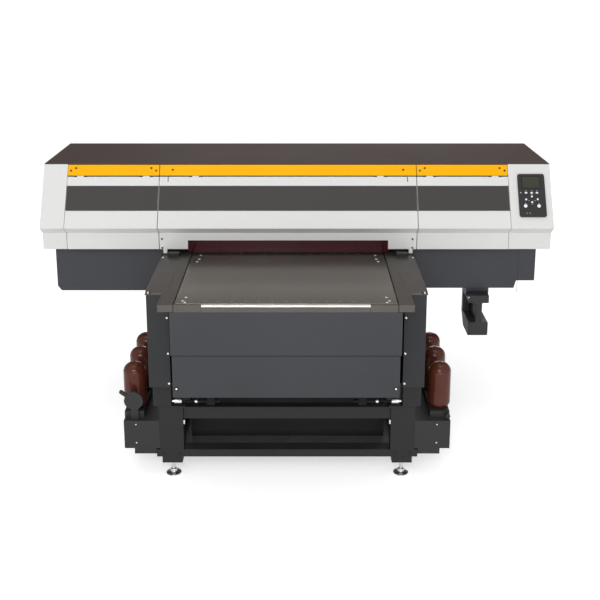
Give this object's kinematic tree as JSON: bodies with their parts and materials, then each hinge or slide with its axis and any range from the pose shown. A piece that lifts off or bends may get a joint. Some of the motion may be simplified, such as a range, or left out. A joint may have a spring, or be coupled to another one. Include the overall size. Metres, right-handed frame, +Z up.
{
  "type": "flatbed printer",
  "caption": "Wide flatbed UV printer: a lifting bed with a feeding vacuum table under a fixed print head housing, on a steel stand with ink bottle stations at both sides.",
  "frame": {"origin": "on the floor, at the middle of the overall width and depth", "axes": "+X to the operator's right, +Y to the rear, +Z up"},
  "size_m": [2.278, 1.617, 1.235],
  "materials": {
    "stand_paint": "fine textured powder coat",
    "column_paint": "fine textured powder coat",
    "skirt_paint": "satin powder coat",
    "bronze_sheet": "dark bronze anodised, satin",
    "bronze_plate": "dark bronze anodised, satin",
    "polished_bar": "polished edge",
    "frame_aluminium": "milled",
    "rail_steel": "ground",
    "chrome_steel": "bright plated",
    "screw_steel": "bright plated",
    "station_plastic": "fine moulded texture",
    "carriage_plastic": "fine moulded texture",
    "belt_rubber": "matt",
    "pulley_aluminium": "turned",
    "top_paint": "satin textured paint",
    "pan_paint": "satin textured paint",
    "white_plastic": "fine moulded texture",
    "accent_yellow": "semi-gloss",
    "window_tint": "tinted, glossy",
    "panel_plastic": "fine moulded texture",
    "display_glass": "glossy",
    "key_plastic": "satin",
    "bottle_plastic": "translucent amber, glossy"
  },
  "bodies": {
    "base": {"stand_frame": "stand_paint", "stand_shelf": "stand_paint", "control_box": "stand_paint", "levelling_feet": "chrome_steel", "base_frame": "stand_paint", "side_column_left": "column_paint", "side_column_right": "column_paint", "rear_cover": "column_paint", "lower_skirt": "skirt_paint", "side_deck_left": "bronze_sheet", "side_deck_right": "bronze_sheet", "lock_rods": "chrome_steel", "ink_station_left": "station_plastic", "ink_station_right": "station_plastic", "gantry_beam": "frame_aluminium", "beam_supports": "frame_aluminium", "carriage_rails": "rail_steel", "drive_belt": "belt_rubber", "top_cover": "top_paint", "rear_panel": "pan_paint", "end_cover_left": "white_plastic", "end_cover_right": "white_plastic", "accent_strips": "accent_yellow", "head_pan_left": "pan_paint", "head_pan_right": "pan_paint", "capping_station": "carriage_plastic", "control_panel": "panel_plastic", "display": "display_glass", "fasteners": "screw_steel"},
    "lift": {"lift_frame": "frame_aluminium", "upper_skirt": "skirt_paint", "nose_bar": "polished_bar", "feed_rails": "rail_steel"},
    "screw": {"feed_screw": "rail_steel"},
    "table": {"vacuum_table": "bronze_plate", "table_carrier": "frame_aluminium"},
    "carriage": {"carriage": "carriage_plastic"},
    "drive_pulley": {"drive_pulley": "pulley_aluminium"},
    "idler_pulley": {"idler_pulley": "pulley_aluminium"},
    "centre_cover": {"centre_cover": "white_plastic", "cover_window": "window_tint"},
    "left_cover": {"left_cover": "white_plastic"},
    "right_cover": {"right_cover": "white_plastic"},
    "waste_tank": {"waste_tank": "station_plastic"},
    "supply_lever": {"supply_lever": "station_plastic"},
    "key_function_1": {"key_function_1": "key_plastic"},
    "key_function_2": {"key_function_2": "key_plastic"},
    "key_function_3": {"key_function_3": "key_plastic"},
    "key_up": {"key_up": "key_plastic"},
    "key_left": {"key_left": "key_plastic"},
    "key_right": {"key_right": "key_plastic"},
    "key_down": {"key_down": "key_plastic"},
    "key_large_left": {"key_large_left": "key_plastic"},
    "key_large_right": {"key_large_right": "key_plastic"},
    "ink_bottle_left_1": {"ink_bottle_left_1": "bottle_plastic"},
    "ink_bottle_left_2": {"ink_bottle_left_2": "bottle_plastic"},
    "ink_bottle_left_3": {"ink_bottle_left_3": "bottle_plastic"},
    "ink_bottle_right_1": {"ink_bottle_right_1": "bottle_plastic"},
    "ink_bottle_right_2": {"ink_bottle_right_2": "bottle_plastic"},
    "ink_bottle_right_3": {"ink_bottle_right_3": "bottle_plastic"}
  },
  "joints": [
    {"name": "bed_lift", "type": "slide", "parent": "base", "child": "lift", "axis": [0, 0, 1], "range_m": [-0.15, 0]},
    {"name": "table_feed", "type": "slide", "parent": "lift", "child": "table", "axis": [0, 1, 0], "range_m": [0, 0.52]},
    {"name": "screw_turn", "type": "hinge", "parent": "lift", "child": "screw", "pos_m": [-0.04, 0, 0.788], "axis": [0, 1, 0], "range_deg": [0, 4700]},
    {"name": "carriage_travel", "type": "slide", "parent": "base", "child": "carriage", "axis": [1, 0, 0], "range_m": [-1.46, 0]},
    {"name": "drive_pulley_turn", "type": "hinge", "parent": "base", "child": "drive_pulley", "pos_m": [0.99, 0.15, 1.065], "axis": [0, 1, 0], "range_deg": [0, 4030]},
    {"name": "idler_pulley_turn", "type": "hinge", "parent": "base", "child": "idler_pulley", "pos_m": [-1.05, 0.15, 1.065], "axis": [0, 1, 0], "range_deg": [0, 4030]},
    {"name": "centre_cover_hinge", "type": "hinge", "parent": "base", "child": "centre_cover", "pos_m": [0, -0.0692, 1.18102], "axis": [-1, 0, 0], "range_deg": [0, 70]},
    {"name": "left_cover_hinge", "type": "hinge", "parent": "base", "child": "left_cover", "pos_m": [-0.8, -0.0692, 1.18102], "axis": [-1, 0, 0], "range_deg": [0, 70]},
    {"name": "right_cover_hinge", "type": "hinge", "parent": "base", "child": "right_cover", "pos_m": [0.75, -0.0692, 1.18102], "axis": [-1, 0, 0], "range_deg": [0, 70]},
    {"name": "waste_tank_slide", "type": "slide", "parent": "base", "child": "waste_tank", "axis": [0, -1, 0], "range_m": [0, 0.12]},
    {"name": "supply_lever_turn", "type": "hinge", "parent": "base", "child": "supply_lever", "pos_m": [-0.678, -0.6005, 0.345], "axis": [0, 1, 0], "range_deg": [0, 60]},
    {"name": "key_function_1_press", "type": "slide", "parent": "base", "child": "key_function_1", "axis": [0, 0.866, -0.5], "range_m": [0, 0.0008], "stiffness_N_per_m": 300},
    {"name": "key_function_2_press", "type": "slide", "parent": "base", "child": "key_function_2", "axis": [0, 0.866, -0.5], "range_m": [0, 0.0008], "stiffness_N_per_m": 300},
    {"name": "key_function_3_press", "type": "slide", "parent": "base", "child": "key_function_3", "axis": [0, 0.866, -0.5], "range_m": [0, 0.0008], "stiffness_N_per_m": 300},
    {"name": "key_up_press", "type": "slide", "parent": "base", "child": "key_up", "axis": [0, 0.866, -0.5], "range_m": [0, 0.0008], "stiffness_N_per_m": 300},
    {"name": "key_left_press", "type": "slide", "parent": "base", "child": "key_left", "axis": [0, 0.866, -0.5], "range_m": [0, 0.0008], "stiffness_N_per_m": 300},
    {"name": "key_right_press", "type": "slide", "parent": "base", "child": "key_right", "axis": [0, 0.866, -0.5], "range_m": [0, 0.0008], "stiffness_N_per_m": 300},
    {"name": "key_down_press", "type": "slide", "parent": "base", "child": "key_down", "axis": [0, 0.866, -0.5], "range_m": [0, 0.0008], "stiffness_N_per_m": 300},
    {"name": "key_large_left_press", "type": "slide", "parent": "base", "child": "key_large_left", "axis": [0, 0.866, -0.5], "range_m": [0, 0.0008], "stiffness_N_per_m": 300},
    {"name": "key_large_right_press", "type": "slide", "parent": "base", "child": "key_large_right", "axis": [0, 0.866, -0.5], "range_m": [0, 0.0008], "stiffness_N_per_m": 300},
    {"name": "ink_bottle_left_1_lift_off", "type": "slide", "parent": "base", "child": "ink_bottle_left_1", "axis": [0, 0, 1], "range_m": [0, 0.2]},
    {"name": "ink_bottle_left_2_lift_off", "type": "slide", "parent": "base", "child": "ink_bottle_left_2", "axis": [0, 0, 1], "range_m": [0, 0.2]},
    {"name": "ink_bottle_left_3_lift_off", "type": "slide", "parent": "base", "child": "ink_bottle_left_3", "axis": [0, 0, 1], "range_m": [0, 0.2]},
    {"name": "ink_bottle_right_1_lift_off", "type": "slide", "parent": "base", "child": "ink_bottle_right_1", "axis": [0, 0, 1], "range_m": [0, 0.2]},
    {"name": "ink_bottle_right_2_lift_off", "type": "slide", "parent": "base", "child": "ink_bottle_right_2", "axis": [0, 0, 1], "range_m": [0, 0.2]},
    {"name": "ink_bottle_right_3_lift_off", "type": "slide", "parent": "base", "child": "ink_bottle_right_3", "axis": [0, 0, 1], "range_m": [0, 0.2]}
  ],
  "couplings": [
    {"joint": "screw_turn", "follows": "table_feed", "rad_per_m": 157.08},
    {"joint": "drive_pulley_turn", "follows": "carriage_travel", "rad_per_m": -47.506},
    {"joint": "idler_pulley_turn", "follows": "carriage_travel", "rad_per_m": -47.506}
  ]
}
